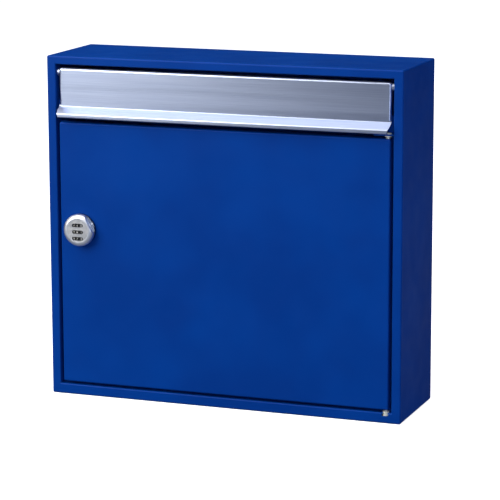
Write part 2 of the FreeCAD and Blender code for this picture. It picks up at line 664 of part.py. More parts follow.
def lock_knob():
    """Turning part of the lock: a domed grip with a flat on its rim, a barrel and a square end."""
    rim_front = Y_KNOB_BACK - KNOB_RIM_HEIGHT
    dome = (LOCK_RADIUS - FACE_RADIUS) * (1 - math.sqrt(0.5))
    dome_y = (rim_front - Y_FACE) * (1 - math.sqrt(0.5))
    bend_spot = (LOCK_RADIUS - dome, Y_FACE + dome_y)
    groove = KNOB_BARREL_RADIUS - CLIP_GROOVE
    knob = turned(
        [
            (0, Y_FACE),
            (FACE_RADIUS, Y_FACE),
            ((FACE_RADIUS, Y_FACE), bend_spot, (LOCK_RADIUS, rim_front)),
            (LOCK_RADIUS, Y_KNOB_BACK),
            (KNOB_BARREL_RADIUS, Y_KNOB_BACK),
            (KNOB_BARREL_RADIUS, Y_CLIP),
            (groove, Y_CLIP),
            (groove, Y_CLIP + CLIP),
            (KNOB_BARREL_RADIUS, Y_CLIP + CLIP),
            (KNOB_BARREL_RADIUS, Y_CAM),
            (0, Y_CAM),
        ],
        X_LOCK,
        Z_LOCK,
    )
    half = CAM_SQUARE / 2
    square = box(X_LOCK - half, X_LOCK + half, Y_CAM - PAST, Y_CAM + CAM, Z_LOCK - half, Z_LOCK + half)
    knob = fused(knob, square)
    flat = box(
        X_LOCK + LOCK_RADIUS - KNOB_CUT,
        X_LOCK + 2 * LOCK_RADIUS,
        Y_FACE - PAST,
        Y_KNOB_BACK,
        Z_LOCK - LOCK_RADIUS,
        Z_LOCK + LOCK_RADIUS,
    )
    flat.rotate(V(X_LOCK, 0, Z_LOCK), V(0, 1, 0), -KNOB_CUT_ANGLE)
    rooms = [
        rod_z(
            WHEEL_RADIUS + WHEEL_ROOM,
            z - WHEEL_THICKNESS / 2 - WHEEL_END_ROOM,
            z + WHEEL_THICKNESS / 2 + WHEEL_END_ROOM,
            X_LOCK,
            Y_WHEELS,
        )
        for z in WHEEL_Z
    ]
    leaf_low, leaf_high = leaf_span()
    y_leaf = Y_WHEELS + WHEEL_RADIUS + WHEEL_ROOM
    leaf_x = LEAF_WIDTH / 2 + PRESSED
    cutters = [
        flat,
        rod_y(FACE_RADIUS, Y_FACE - PAST, Y_FACE + FACE_PLATE, X_LOCK, Z_LOCK),
        *window_cutters(Y_FACE - PAST, Y_FACE + WINDOW_DEPTH),
        *rooms,
        rod_z(AXLE_RADIUS + PRESSED, Z_LOCK - AXLE_REACH, Z_LOCK + LOCK_RADIUS, X_LOCK, Y_WHEELS),
        box(X_LOCK - leaf_x, X_LOCK + leaf_x, y_leaf - WHEEL_ROOM, y_leaf + LEAF_ROOM, leaf_low, leaf_high),
        rod_y(CAM_SCREW_RADIUS + PRESSED, Y_CAM + CAM - CAM_SCREW_DEPTH, Y_CAM + CAM + PAST, X_LOCK, Z_LOCK),
    ]
    return knob.cut(cutters)


def lock_face_plate():
    """Satin disc let into the knob's face, with the three windows."""
    disc = rod_y(FACE_RADIUS - PRESSED, Y_FACE, Y_FACE + FACE_PLATE, X_LOCK, Z_LOCK)
    return disc.cut(window_cutters(Y_FACE - PAST, Y_FACE + FACE_PLATE + PAST))


def number_wheel(z):
    """Number wheel with a grip notch between each two digits."""
    z0, z1 = z - WHEEL_THICKNESS / 2, z + WHEEL_THICKNESS / 2
    wheel = rod_z(WHEEL_RADIUS, z0, z1, X_LOCK, Y_WHEELS)
    cutters = [rod_z(AXLE_RADIUS + RUNNING, z0 - PAST, z1 + PAST, X_LOCK, Y_WHEELS)]
    for n in range(WHEEL_NOTCHES):
        angle = math.radians((n + 0.5) * 360 / WHEEL_NOTCHES)
        x = X_LOCK + WHEEL_RADIUS * math.sin(angle)
        y = Y_WHEELS - WHEEL_RADIUS * math.cos(angle)
        cutters.append(rod_z(WHEEL_NOTCH_RADIUS, z0 - PAST, z1 + PAST, x, y))
    return wheel.cut(cutters)


def wheel_axle():
    return rod_z(AXLE_RADIUS, Z_LOCK - AXLE_REACH, Z_LOCK + AXLE_REACH, X_LOCK, Y_WHEELS)


def wheel_leaf():
    """Spring strip behind the wheels, which clicks into their notches."""
    low, high = leaf_span()
    y1 = Y_WHEELS + WHEEL_RADIUS + WHEEL_ROOM + LEAF_ROOM
    half = LEAF_WIDTH / 2
    return box(X_LOCK - half, X_LOCK + half, y1 - LEAF, y1, low + PRESSED, high - PRESSED)


def knob_clip():
    """Open spring ring in the barrel's groove, which keeps the knob in its housing."""
    y0, y1 = Y_CLIP + PRESSED, Y_CLIP + CLIP - PRESSED
    ring = rod_y(CLIP_RADIUS, y0, y1, X_LOCK, Z_LOCK)
    ring = ring.cut(rod_y(KNOB_BARREL_RADIUS - CLIP_GROOVE + PRESSED, y0 - PAST, y1 + PAST, X_LOCK, Z_LOCK))
    half = CLIP_RADIUS * math.tan(math.radians(CLIP_OPENING / 2))
    gap = [V(X_LOCK, y0 - PAST, Z_LOCK)]
    gap += [V(X_LOCK + side * 2 * half, y0 - PAST, Z_LOCK + 2 * CLIP_RADIUS) for side in (-1, 1)]
    wedge = Part.Face(Part.makePolygon(gap + gap[:1])).extrude(V(0, CLIP + 2 * PAST, 0))
    return ring.cut(wedge)


def lock_cam():
    """Cam on the knob's square end. It hangs down when open, and points left behind the strike to lock."""
    y0, y1 = Y_CAM, Y_CAM + CAM
    hub = rod_y(CAM_HUB_RADIUS, y0, y1, X_LOCK, Z_LOCK)
    half = CAM_WIDTH / 2
    tongue = box(X_LOCK - half, X_LOCK + half, y0, y1, Z_LOCK - CAM_LENGTH, Z_LOCK)
    y_middle = (y0 + y1) / 2
    z_tip = Z_LOCK - CAM_LENGTH
    tongue = rounded(tongue, half / 2, lambda p: p.z < z_tip + 1e-6 and abs(p.y - y_middle) < 1e-6)
    hole = CAM_SQUARE / 2 + CAM_FIT
    square = box(X_LOCK - hole, X_LOCK + hole, y0 - PAST, y1 + PAST, Z_LOCK - hole, Z_LOCK + hole)
    return fused(hub, tongue).cut(square)


def cam_washer():
    y0 = Y_CAM + CAM
    disc = rod_y(WASHER_RADIUS, y0, y0 + WASHER, X_LOCK, Z_LOCK)
    return disc.cut(rod_y(CAM_SCREW_RADIUS + RUNNING, y0 - PAST, y0 + WASHER + PAST, X_LOCK, Z_LOCK))


def cam_screw():
    y_head = Y_CAM + CAM + WASHER
    shank = rod_y(CAM_SCREW_RADIUS, Y_CAM + CAM - CAM_SCREW_DEPTH, y_head, X_LOCK, Z_LOCK)
    head = rod_y(CAM_HEAD_RADIUS, y_head, y_head + CAM_HEAD, X_LOCK, Z_LOCK)
    head = rounded(head, CAM_HEAD / 3, lambda p: p.y > y_head + CAM_HEAD / 2)
    return fused(head, shank)


PIECES = {
    "case_shell": case_shell,
    "back_panel": back_panel,
    "cross_rail": cross_rail,
    "upper_hinge_bracket": upper_hinge_bracket,
    "bracket_screws": bracket_screws,
    "lower_hinge_bush": lower_hinge_bush,
    "upper_hinge_bush": upper_hinge_bush,
    "door_bumpers": door_bumpers,
    "flap_bumpers": flap_bumpers,
    "strike_plate": strike_plate,
    "flap_plate": flap_plate,
    "flap_pin_left": lambda: flap_pin(-1),
    "flap_pin_right": lambda: flap_pin(1),
    "flap_spacer_left": lambda: flap_spacer(-1),
    "flap_spacer_right": lambda: flap_spacer(1),
    "door_panel": door_panel,
    "lower_hinge_plate": lambda: door_hinge_plate(DOOR_BOTTOM + SHEET),
    "upper_hinge_plate": lambda: door_hinge_plate(DOOR_TOP - SHEET - HINGE_PLATE),
    "lower_hinge_pin": lower_hinge_pin,
    "upper_hinge_pin": upper_hinge_pin,
    "lock_gasket": lock_gasket,
    "lock_housing": lock_housing,
    "lock_nut": lock_nut,
    "lock_knob": lock_knob,
    "lock_face_plate": lock_face_plate,
    "wheel_axle": wheel_axle,
    "wheel_leaf": wheel_leaf,
    "knob_clip": knob_clip,
    "lock_cam": lock_cam,
    "cam_washer": cam_washer,
    "cam_screw": cam_screw,
}
for wheel_name, wheel_z in zip(WHEEL_NAMES, WHEEL_Z):
    PIECES["number_wheel_" + wheel_name] = lambda z=wheel_z: number_wheel(z)

os.makedirs("parts", exist_ok=True)
for name, make in PIECES.items():
    piece = make()
    if not piece.isValid():
        raise ValueError(name + " is not a valid solid")
    piece.exportStep("parts/" + name + ".step")
    print(f"{name:22s} {len(piece.Solids)} solid  {piece.Volume / 1000:9.3f} cm3")
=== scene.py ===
# %% [markdown]
# # A wall mailbox of folded, painted steel
# The engineer's model comes in first, as a frame that is never moved or reshaped. What follows gives its
# parts a finish, adds small pieces that ride on its bodies, and sets up the camera, the floor and the
# lights. All lengths are in metres, but under a name that ends in _MM or _mm they are in millimetres.

import json
import math

import bmesh
import bpy
from mathutils import Matrix, Vector


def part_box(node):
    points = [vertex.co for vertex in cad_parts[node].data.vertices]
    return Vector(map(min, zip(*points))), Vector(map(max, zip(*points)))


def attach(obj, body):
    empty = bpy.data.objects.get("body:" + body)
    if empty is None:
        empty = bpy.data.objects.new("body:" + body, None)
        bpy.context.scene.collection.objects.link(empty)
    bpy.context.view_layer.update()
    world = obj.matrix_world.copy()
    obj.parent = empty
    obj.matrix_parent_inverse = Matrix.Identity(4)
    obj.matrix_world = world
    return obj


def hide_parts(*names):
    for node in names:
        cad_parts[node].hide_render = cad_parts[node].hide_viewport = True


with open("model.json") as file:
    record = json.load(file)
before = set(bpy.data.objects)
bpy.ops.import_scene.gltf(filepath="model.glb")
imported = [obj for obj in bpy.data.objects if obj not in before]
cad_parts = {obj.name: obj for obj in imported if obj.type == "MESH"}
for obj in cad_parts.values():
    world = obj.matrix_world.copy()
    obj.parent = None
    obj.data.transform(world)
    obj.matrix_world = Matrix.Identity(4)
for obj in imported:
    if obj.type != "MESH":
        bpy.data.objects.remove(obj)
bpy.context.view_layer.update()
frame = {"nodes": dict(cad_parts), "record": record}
scene = bpy.context.scene
MM = 0.001

# %% [markdown]
# ## Camera
# A product picture of a flat box is taken with a long lens, so that its edges stay nearly parallel.
# The camera stands to the right of the box and a little above it. Its place is worked out backwards from
# the spot it looks at, because that keeps the framing the same when an angle is changed.

# %% Stand the camera
CAMERA_AZIMUTH = 20.42  # degrees to the right of straight ahead
CAMERA_ELEVATION = 11.34
CAMERA_ROLL = -0.15
CAMERA_DISTANCE = 2.315
CAMERA_LENS_MM = 175.2  # on a sensor 36 mm wide
AIM_RIGHT_MM = 29.4  # of the middle of the box's front
AIM_UP_MM = -9.8

box_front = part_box("case_shell")[0].y


def direction(azimuth, elevation):
    """Unit vector that points from the box towards something seen at these angles, in degrees."""
    a, e = math.radians(azimuth), math.radians(elevation)
    return Vector((math.sin(a) * math.cos(e), -math.cos(a) * math.cos(e), math.sin(e)))


camera_data = bpy.data.cameras.new("product_camera")
camera_data.lens = CAMERA_LENS_MM
camera_data.sensor_width = 36
camera = bpy.data.objects.new("product_camera", camera_data)
scene.collection.objects.link(camera)
towards_camera = direction(CAMERA_AZIMUTH, CAMERA_ELEVATION)
camera.location = Vector((AIM_RIGHT_MM * MM, box_front, AIM_UP_MM * MM)) + towards_camera * CAMERA_DISTANCE
turn = (-towards_camera).to_track_quat("-Z", "Y").to_matrix()
camera.rotation_euler = (turn @ Matrix.Rotation(math.radians(CAMERA_ROLL), 3, "Z")).to_euler()
scene.camera = camera
print("camera at", [round(c, 3) for c in camera.location])

# %% [markdown]
# ## Nodes by the handful
# Every material below is a small network of nodes. One function adds a node, sets its options and fills
# its inputs, so that each material reads as a short list of what it is made of. Colours are written as
# the hex values a painter would pick on a screen, and one function turns them into linear light.

# %% Helpers for materials


def linear(hex_colour):
    """Linear RGBA of an sRGB colour such as "#1F4E9C"."""
    values = [int(hex_colour[n : n + 2], 16) / 255 for n in (1, 3, 5)]
    return [v / 12.92 if v <= 0.04045 else ((v + 0.055) / 1.055) ** 2.4 for v in values] + [1.0]


def add_node(tree, kind, inputs=(), **settings):
    """Adds a node. An input that is given a socket is linked to it, and any other input is set."""
    node = tree.nodes.new(kind)
    for name, value in settings.items():
        setattr(node, name, value)
    for key, value in dict(inputs).items():
        if isinstance(value, bpy.types.NodeSocket):
            tree.links.new(value, node.inputs[key])
        else:
            node.inputs[key].default_value = value
    return node


def new_material(name, **constants):
    """A material with one Principled shader, whose constants are set on its own sockets."""
    material = bpy.data.materials.new(name)
    material.use_nodes = True
    shader = material.node_tree.nodes["Principled BSDF"]
    for socket, value in constants.items():
        shader.inputs[socket.replace("_", " ")].default_value = value
    return material, material.node_tree, shader


def grain(tree, size_mm, detail=2.0, rough=0.5):
    """Noise whose patches measure size_mm along X, Y and Z of the object, as a value from 0 to 1."""
    spot = add_node(tree, "ShaderNodeTexCoord").outputs["Object"]
    scale = [1 / (s * MM) for s in size_mm]
    stretched = add_node(tree, "ShaderNodeMapping", {"Vector": spot, "Scale": scale}).outputs["Vector"]
    inputs = {"Vector": stretched, "Scale": 1.0, "Detail": detail, "Roughness": rough}
    return add_node(tree, "ShaderNodeTexNoise", inputs).outputs["Fac"]


def blend_colours(tree, factor, dark, light, low=0.35, high=0.65):
    """Colour that goes from dark to light as factor goes from low to high."""
    ranged = {"Value": factor, "From Min": low, "From Max": high}
    share = add_node(tree, "ShaderNodeMapRange", ranged).outputs["Result"]
    inputs = {0: share, 6: linear(dark), 7: linear(light)}
    return add_node(tree, "ShaderNodeMix", inputs, data_type="RGBA").outputs[2]


def spread(tree, factor, least, most):
    """Value from least to most, as factor goes over the middle of its range."""
    inputs = {"Value": factor, "From Min": 0.3, "From Max": 0.7, "To Min": least, "To Max": most}
    return add_node(tree, "ShaderNodeMapRange", inputs).outputs["Result"]


def bump(tree, shader, height, depth_mm, strength=1.0):
    """Raises the surface by height times depth_mm, in shading only."""
    inputs = {"Height": height, "Distance": depth_mm * MM, "Strength": strength}
    tree.links.new(add_node(tree, "ShaderNodeBump", inputs).outputs["Normal"], shader.inputs["Normal"])


# %% [markdown]
# ## Stoved blue paint
# The case and the door are dipped, sprayed and baked. The paint flows a little before it hardens, which
# leaves the faint "orange peel" that breaks up a reflection. A sharp fold is painted a shade lighter than
# the flat beside it: a painted highlight on the bend, and partly the paint that draws back thin there. The
# peel of real stoving paint is about 2 mm from crest to crest, too fine to show at this distance, so it is
# drawn twice as coarse.

# %% Paint
PAINT_DEEP = "#003589"
PAINT_FRESH = "#003B93"
# The lighter blue below is a painted highlight along sharp folds, and partly the thin paint there.
PAINT_FOLD_HIGHLIGHT_AND_THINNING = "#2C66BC"
TONE_PATCH_MM = 70.0
GLOSS_PATCH_MM = 25.0
PEEL_MM = 4.0
PEEL_DEPTH_MM = 0.03
FOLD_HIGHLIGHT_AND_THINNING_MM = 1.2
FOLD_HIGHLIGHT_AND_THINNING_SHARE = 0.6  # how far a sharp fold is lightened, as painted highlight and thin paint


def stoved_paint():
    material, tree, shader = new_material("stoved_blue_paint", Specular_IOR_Level=0.08)
    patches = grain(tree, (TONE_PATCH_MM,) * 3)
    flat_colour = blend_colours(tree, patches, PAINT_DEEP, PAINT_FRESH)
    # Where the bevelled normal turns from the true one, at a fold, the colour is lightened: a painted
    # highlight, and partly thin paint.
    rounded = add_node(tree, "ShaderNodeBevel", {"Radius": FOLD_HIGHLIGHT_AND_THINNING_MM * MM}, samples=4)
    true = add_node(tree, "ShaderNodeNewGeometry")
    both = {0: rounded.outputs["Normal"], 1: true.outputs["Normal"]}
    agree = add_node(tree, "ShaderNodeVectorMath", both, operation="DOT_PRODUCT").outputs["Value"]
    ranged = {"Value": agree, "From Min": 0.99, "From Max": 0.75, "To Max": FOLD_HIGHLIGHT_AND_THINNING_SHARE}
    fold_highlight_and_thinning = add_node(tree, "ShaderNodeMapRange", ranged).outputs["Result"]
    inputs = {0: fold_highlight_and_thinning, 6: flat_colour, 7: linear(PAINT_FOLD_HIGHLIGHT_AND_THINNING)}
    colour = add_node(tree, "ShaderNodeMix", inputs, data_type="RGBA").outputs[2]
    tree.links.new(colour, shader.inputs["Base Color"])
    tree.links.new(spread(tree, grain(tree, (GLOSS_PATCH_MM,) * 3), 0.36, 0.44), shader.inputs["Roughness"])
    bump(tree, shader, grain(tree, (PEEL_MM,) * 3, detail=1.0), PEEL_DEPTH_MM)
    return material


# %% [markdown]
# ## Hairline stainless
# The flap is bare stainless, ground with a belt that ran from side to side. Each scratch mirrors the
# room on its own little slope, so a reflection stays sharp along the scratches and smears across them.
# That is anisotropy: the tangent runs round the X axis, which is up and down on the flap's face.
# Real hairlines are 0.1 mm apart; these are drawn at 0.8 mm so that they show. Now and then the belt wore
# unevenly, which leaves long bands that are slightly sharper or duller than the rest.

# %% Stainless
HAIRLINE_LENGTH_MM = 90.0
HAIRLINE_PITCH_MM = 0.8
HAIRLINE_DEPTH_MM = 0.004
BAND_LENGTH_MM = 300.0
BAND_WIDTH_MM = 7.0


def hairline_stainless():
    material, tree, shader = new_material("hairline_stainless", Metallic=1.0, Anisotropic=0.6)
    hairs = grain(tree, (HAIRLINE_LENGTH_MM, HAIRLINE_PITCH_MM, HAIRLINE_PITCH_MM), detail=3.0)
    bands = grain(tree, (BAND_LENGTH_MM, BAND_WIDTH_MM, BAND_WIDTH_MM), detail=1.0)
    colour = blend_colours(tree, hairs, "#ABBADC", "#C0CDEA", 0.25, 0.75)
    tree.links.new(colour, shader.inputs["Base Color"])
    tree.links.new(spread(tree, bands, 0.29, 0.33), shader.inputs["Roughness"])
    around = add_node(tree, "ShaderNodeTangent", direction_type="RADIAL", axis="X").outputs["Tangent"]
    tree.links.new(around, shader.inputs["Tangent"])
    bump(tree, shader, hairs, HAIRLINE_DEPTH_MM)
    return material


# %% [markdown]
# ## Plated and bare metals
# The lock is die-cast zinc under chrome. The fixed flange is given a dark, polished copy of the chrome,
# which paints the shade lying on it beside the knob, and the knob that turns in it a pale satin one. The
# knob's face is a satin silver disc, and most of the hardware inside is mild steel with a thin coat of
# zinc.
# All are metals, so their colour is the colour of their reflection, and what tells them apart is how rough
# they are and how their tone drifts across the surface.

# %% Chrome, satin face, zinc plate and spring steel


def plated_metal(name, dark, light, smooth, rough, patch_mm, pit_mm, pit_depth_mm):
    """Metal whose tone and roughness drift over patch_mm, with a surface pitted every pit_mm."""
    material, tree, shader = new_material(name, Metallic=1.0)
    drift = grain(tree, (patch_mm,) * 3)
    tree.links.new(blend_colours(tree, drift, dark, light), shader.inputs["Base Color"])
    tree.links.new(spread(tree, drift, smooth, rough), shader.inputs["Roughness"])
    bump(tree, shader, grain(tree, (pit_mm,) * 3, detail=3.0), pit_depth_mm)
    return material


# The flange's chrome is darkened below: painted shade.
shade_darkened_chrome = plated_metal("chrome_on_cast_zinc", "#5E626A", "#6E737B", 0.14, 0.20, 9, 1.5, 0.001)
satin_chrome = plated_metal("satin_chrome_on_cast_zinc", "#DEE4F0", "#ECF0F8", 0.38, 0.46, 9, 0.6, 0.004)
satin_face = plated_metal("satin_silver_face", "#C8CCD3", "#D8DBE0", 0.42, 0.50, 4, 0.4, 0.006)
zinc_plate = plated_metal("zinc_plated_steel", "#A3A6A4", "#BCC2C6", 0.32, 0.48, 5, 0.8, 0.010)
spring_steel = plated_metal("oiled_spring_steel", "#4A4A4D", "#5E5E61", 0.28, 0.38, 6, 0.6, 0.004)

# %% [markdown]
# ## Nylon, rubber and moulded wheels
# The hinge bushes are natural nylon, which lets a little light into it and looks waxy. The bumpers and
# the gasket are black rubber, dull and slightly dusty. The number wheels are black acetal, moulded
# against a polished tool, with their digits filled in white.

# %% Plastics and rubber


def moulded(name, dark, light, smooth, rough, pit_mm, pit_depth_mm, **constants):
    """Plastic or rubber with a slightly uneven tone and a fine moulded skin."""
    material, tree, shader = new_material(name, **constants)
    drift = grain(tree, (3, 3, 3))
    tree.links.new(blend_colours(tree, drift, dark, light), shader.inputs["Base Color"])
    tree.links.new(spread(tree, drift, smooth, rough), shader.inputs["Roughness"])
    bump(tree, shader, grain(tree, (pit_mm,) * 3, detail=3.0), pit_depth_mm)
    return material


waxy = {"IOR": 1.53, "Subsurface_Weight": 0.15}
nylon = moulded("natural_nylon", "#DAD8CC", "#E8E6DC", 0.40, 0.50, 0.7, 0.006, **waxy)
rubber = moulded("black_rubber", "#111112", "#1E1E1F", 0.70, 0.90, 0.5, 0.020, IOR=1.52)
acetal = moulded("black_acetal", "#141517", "#1D1E21", 0.28, 0.38, 0.6, 0.004, IOR=1.48)
digit_fill = moulded("white_digit_paint", "#DCDDDB", "#F0F0EE", 0.45, 0.60, 0.3, 0.004)

# %% [markdown]
# ## Dressing the frame
# Each part of the record names a material slot. A CAD part whose shape is already right only needs its
# finish, so one loop puts the materials on all of them. The knob shares its slot with the flange round it,
# and is the one part with a finish of its own.

# %% Put the finishes on the CAD parts
FINISHES = {
    "painted_steel": stoved_paint(),
    "stainless_flap": hairline_stainless(),
    "chromed_zinc": shade_darkened_chrome,
    "satin_zinc": satin_face,
    "zinc_plated_steel": zinc_plate,
    "spring_steel": spring_steel,
    "nylon": nylon,
    "black_rubber": rubber,
    "wheel_plastic": acetal,
}
SATIN_CHROMED = {"lock_knob": satin_chrome}
for part in frame["record"]["subparts"]:
    for holder in frame["nodes"][part["node"]].material_slots:
        holder.material = SATIN_CHROMED.get(part["node"], FINISHES[part["material_slot"]])

# %% [markdown]
# ## Adding pieces
# A new piece is a mesh with its place baked into its points, a finish, and the body that it rides on.
# Flats stay flat and curves stay smooth if only the edges sharper than 35 degrees are marked sharp.

# %% Helpers for pieces
SHARP_DEGREES = 35


def add_piece(name, mesh, body, slot, *stands_for, finish=None):
    """Shows mesh as a piece that rides on body and hides the CAD parts that it stands for."""
    mesh.materials.clear()
    mesh.materials.append(finish or FINISHES[slot])
    mesh.polygons.foreach_set("material_index", [0] * len(mesh.polygons))
    mesh.shade_smooth()
    mesh.set_sharp_from_angle(angle=math.radians(SHARP_DEGREES))
    piece = bpy.data.objects.new(name, mesh)
    scene.collection.objects.link(piece)
    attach(piece, body)
    if stands_for:
        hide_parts(*stands_for)
    print(f"{name}: {len(mesh.polygons)} faces on {body}")
    return piece


def turned(profile, steps=40):
    """Bmesh turned about Z. The profile is (radius, height) points that start and end on the axis."""
    bm = bmesh.new()
    spots = [bm.verts.new((radius, 0, height)) for radius, height in profile]
    edges = [bm.edges.new(pair) for pair in zip(spots, spots[1:])]
    bmesh.ops.spin(bm, geom=spots + edges, axis=(0, 0, 1), cent=(0, 0, 0), angle=math.tau, steps=steps)
    bmesh.ops.remove_doubles(bm, verts=bm.verts, dist=0.001 * MM)
    bmesh.ops.recalc_face_normals(bm, faces=bm.faces)
    return bm


def as_mesh(bm, name):
    """Mesh of a bmesh, which is freed."""
    mesh = bpy.data.meshes.new(name)
    bm.to_mesh(mesh)
    bm.free()
    return mesh


def standing(place, out):
    """Matrix that moves a piece modelled about the origin to place, with its Z pointing out."""
    return Matrix.Translation(place) @ Vector(out).to_track_quat("Z", "Y").to_matrix().to_4x4()


def joined(meshes, name):
    """One mesh of several."""
    bm = bmesh.new()
    for mesh in meshes:
        bm.from_mesh(mesh)
    return as_mesh(bm, name)


# %% [markdown]
# ## Cross-recess screws
# A pan-head screw is a turned shape: a domed head and a plain shank with a chamfered end. Its cross is
# cut by two tapered blades with the Boolean modifier, because a recess with four crisp walls is hard to
# model by hand and easy to subtract. The head's width and the whole length come from the box of the CAD
# screw that each one stands for. The head's height and the shank's radius are named below.

# %% Screws
RECESS_REACH = 0.62  # of the head's radius
RECESS_WIDTH = 0.22
RECESS_DEPTH = 0.6  # of the head's height


def cross_screw(head_radius, head_height, shank_radius, shank_length):
    """Mesh of a screw whose head stands up from z = 0 and whose shank hangs below it."""
    dome = [(0, head_height)]
    for step in range(1, 7):
        angle = math.radians(15 * step)
        rim = 0.45 * head_radius
        height = head_height * (0.35 + 0.65 * math.cos(angle))
        dome.append((head_radius - rim + rim * math.sin(angle), height))
    point = [(head_radius, 0), (shank_radius, 0), (shank_radius, -shank_length + shank_radius / 2)]
    screw = as_mesh(turned(dome + point + [(shank_radius / 2, -shank_length), (0, -shank_length)]), "screw")
    blades = bmesh.new()
    reach, half = RECESS_REACH * head_radius, RECESS_WIDTH * head_radius / 2
    for quarter in (0, 1):
        blade = bmesh.ops.create_cube(blades, size=2)["verts"]
        for vert in blade:
            narrow = 1.0 if vert.co.z > 0 else 0.55
            height = head_height * (1.2 if vert.co.z > 0 else 1 - RECESS_DEPTH)
            corner = Vector((vert.co.x * reach * narrow, vert.co.y * half * narrow, height))
            vert.co = Matrix.Rotation(math.radians(90 * quarter), 3, "Z") @ corner
    body = bpy.data.objects.new("screw", screw)
    cutter = bpy.data.objects.new("recess", as_mesh(blades, "recess"))
    for helper in (body, cutter):
        scene.collection.objects.link(helper)
    boolean = body.modifiers.new("recess", "BOOLEAN")
    boolean.object = cutter
    boolean.operation = "DIFFERENCE"
    boolean.use_self = True
    cut = bpy.data.meshes.new_from_object(body.evaluated_get(bpy.context.evaluated_depsgraph_get()))
    bpy.data.objects.remove(body)
    bpy.data.objects.remove(cutter)
    return cut


SCREW_SHANK_RADIUS_MM = 1.45
CAM_SHANK_RADIUS_MM = 1.95
SCREW_HEAD_MM = 1.7
CAM_HEAD_MM = 2.6

low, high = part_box("bracket_screws")
head_radius = (high.y - low.y) / 2
head = SCREW_HEAD_MM * MM
screws = []
for x in (low.x + head_radius, high.x - head_radius):
    mesh = cross_screw(head_radius, head, SCREW_SHANK_RADIUS_MM * MM, high.z - low.z - head)
    mesh.transform(standing((x, (low.y + high.y) / 2, low.z + head), (0, 0, -1)))
    screws.append(mesh)
add_piece("hinge_bracket_screws", joined(screws, "screws"), "case", "zinc_plated_steel", "bracket_screws")

low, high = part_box("cam_screw")
head = CAM_HEAD_MM * MM
cam_screw = cross_screw((high.x - low.x) / 2, head, CAM_SHANK_RADIUS_MM * MM, high.y - low.y - head)
cam_screw.transform(standing(((low.x + high.x) / 2, high.y - head, (low.z + high.z) / 2), (0, 1, 0)))
add_piece("cam_pan_screw", cam_screw, "knob", "zinc_plated_steel", "cam_screw")

# %% [markdown]
# ## Rubber buttons
# The door and the flap land on small rubber buttons, so that the sheet doesn't ring. A real one is
# moulded with a wider foot and a domed nose. The same turned profile serves all four.

# %% Bumpers


def rubber_button(radius, height):
    """Mesh of a button that stands up from z = 0 on a wider foot and ends in a dome."""
    dome = []
    for angle in (0.3, 0.6, 0.9, 1.2, 1.57):
        dome.append((0.8 * radius * math.sin(angle), height * (0.55 + 0.45 * math.cos(angle))))
    foot = [(0.86 * radius, 0.3 * height), (radius, 0.22 * height), (radius, 0), (0, 0)]
    return as_mesh(turned([(0, height)] + dome + foot, 28), "button")


for node in ("door_bumpers", "flap_bumpers"):
    low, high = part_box(node)
    along = 2 if high.z - low.z > high.x - low.x else 0
    radius = (high[2 - along] - low[2 - along]) / 2
    buttons = []
    for end, inward in ((low, radius), (high, -radius)):
        place = (low + high) / 2
        place[along] = end[along] + inward
        place.y = high.y
        button = rubber_button(radius, high.y - low.y)
        button.transform(standing(place, (0, -1, 0)))
        buttons.append(button)
    add_piece(node.replace("bumpers", "buttons"), joined(buttons, node), "case", "black_rubber", node)

# %% [markdown]
# ## Digits on the number wheels
# Each wheel carries 0 to 9. A digit starts as flat text, is turned into a mesh, and is then rolled onto
# the wheel: its x becomes an angle, its y becomes height and its thickness points away from the axle.
# They are moulded a tenth of a millimetre proud and filled with white.

# %% Digits
DIGIT_HEIGHT_MM = 2.9
DIGIT_PROUD_MM = 0.10
FRONT_DIGITS = {"top": 4, "middle": 0, "bottom": 7}


def flat_digit(digit):
    """Mesh of one digit, centred on the origin in the XY plane."""
    text = bpy.data.curves.new("digit", "FONT")
    text.body = str(digit)
    text.size = DIGIT_HEIGHT_MM * MM
    text.extrude = DIGIT_PROUD_MM * MM
    text.resolution_u = 4
    holder = bpy.data.objects.new("digit", text)
    scene.collection.objects.link(holder)
    mesh = bpy.data.meshes.new_from_object(holder.evaluated_get(bpy.context.evaluated_depsgraph_get()))
    bpy.data.objects.remove(holder)
    xs = [v.co.x for v in mesh.vertices]
    ys = [v.co.y for v in mesh.vertices]
    mesh.transform(Matrix.Translation((-(min(xs) + max(xs)) / 2, -(min(ys) + max(ys)) / 2, 0)))
    return mesh


for wheel, front_digit in FRONT_DIGITS.items():
    low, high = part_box("number_wheel_" + wheel)
    centre = (low + high) / 2
    radius = (high.x - low.x) / 2
    rolled = []
    for digit in range(10):
        mesh = flat_digit(digit)
        for vert in mesh.vertices:
            angle = math.radians(36 * (digit - front_digit)) + vert.co.x / radius
            reach = radius + vert.co.z
            height = centre.z + vert.co.y
            vert.co = (centre.x + reach * math.sin(angle), centre.y - reach * math.cos(angle), height)
        rolled.append(mesh)
    name = wheel + "_wheel_digits"
    add_piece(name, joined(rolled, name), "wheel_" + wheel, "wheel_plastic", finish=digit_fill)

# %% [markdown]
# ## A pale pip on the lock's flange
# A small pale pin stands on the dark flange, 28 degrees above +X where the flat of the knob faces, and puts
# a painted highlight on the flange's rim. The knob turns 0.2 mm in front of the flange. The pin stands 0.12
# mm proud of the flange, so the knob clears it by 0.08 mm.

# %% Index pip
PIP_RADIUS_MM = 1.1
PIP_HEIGHT_MM = 0.12
PIP_ANGLE = 28.0  # degrees above +X, where the knob's flat faces
PIP_FROM_RIM_MM = 1.5

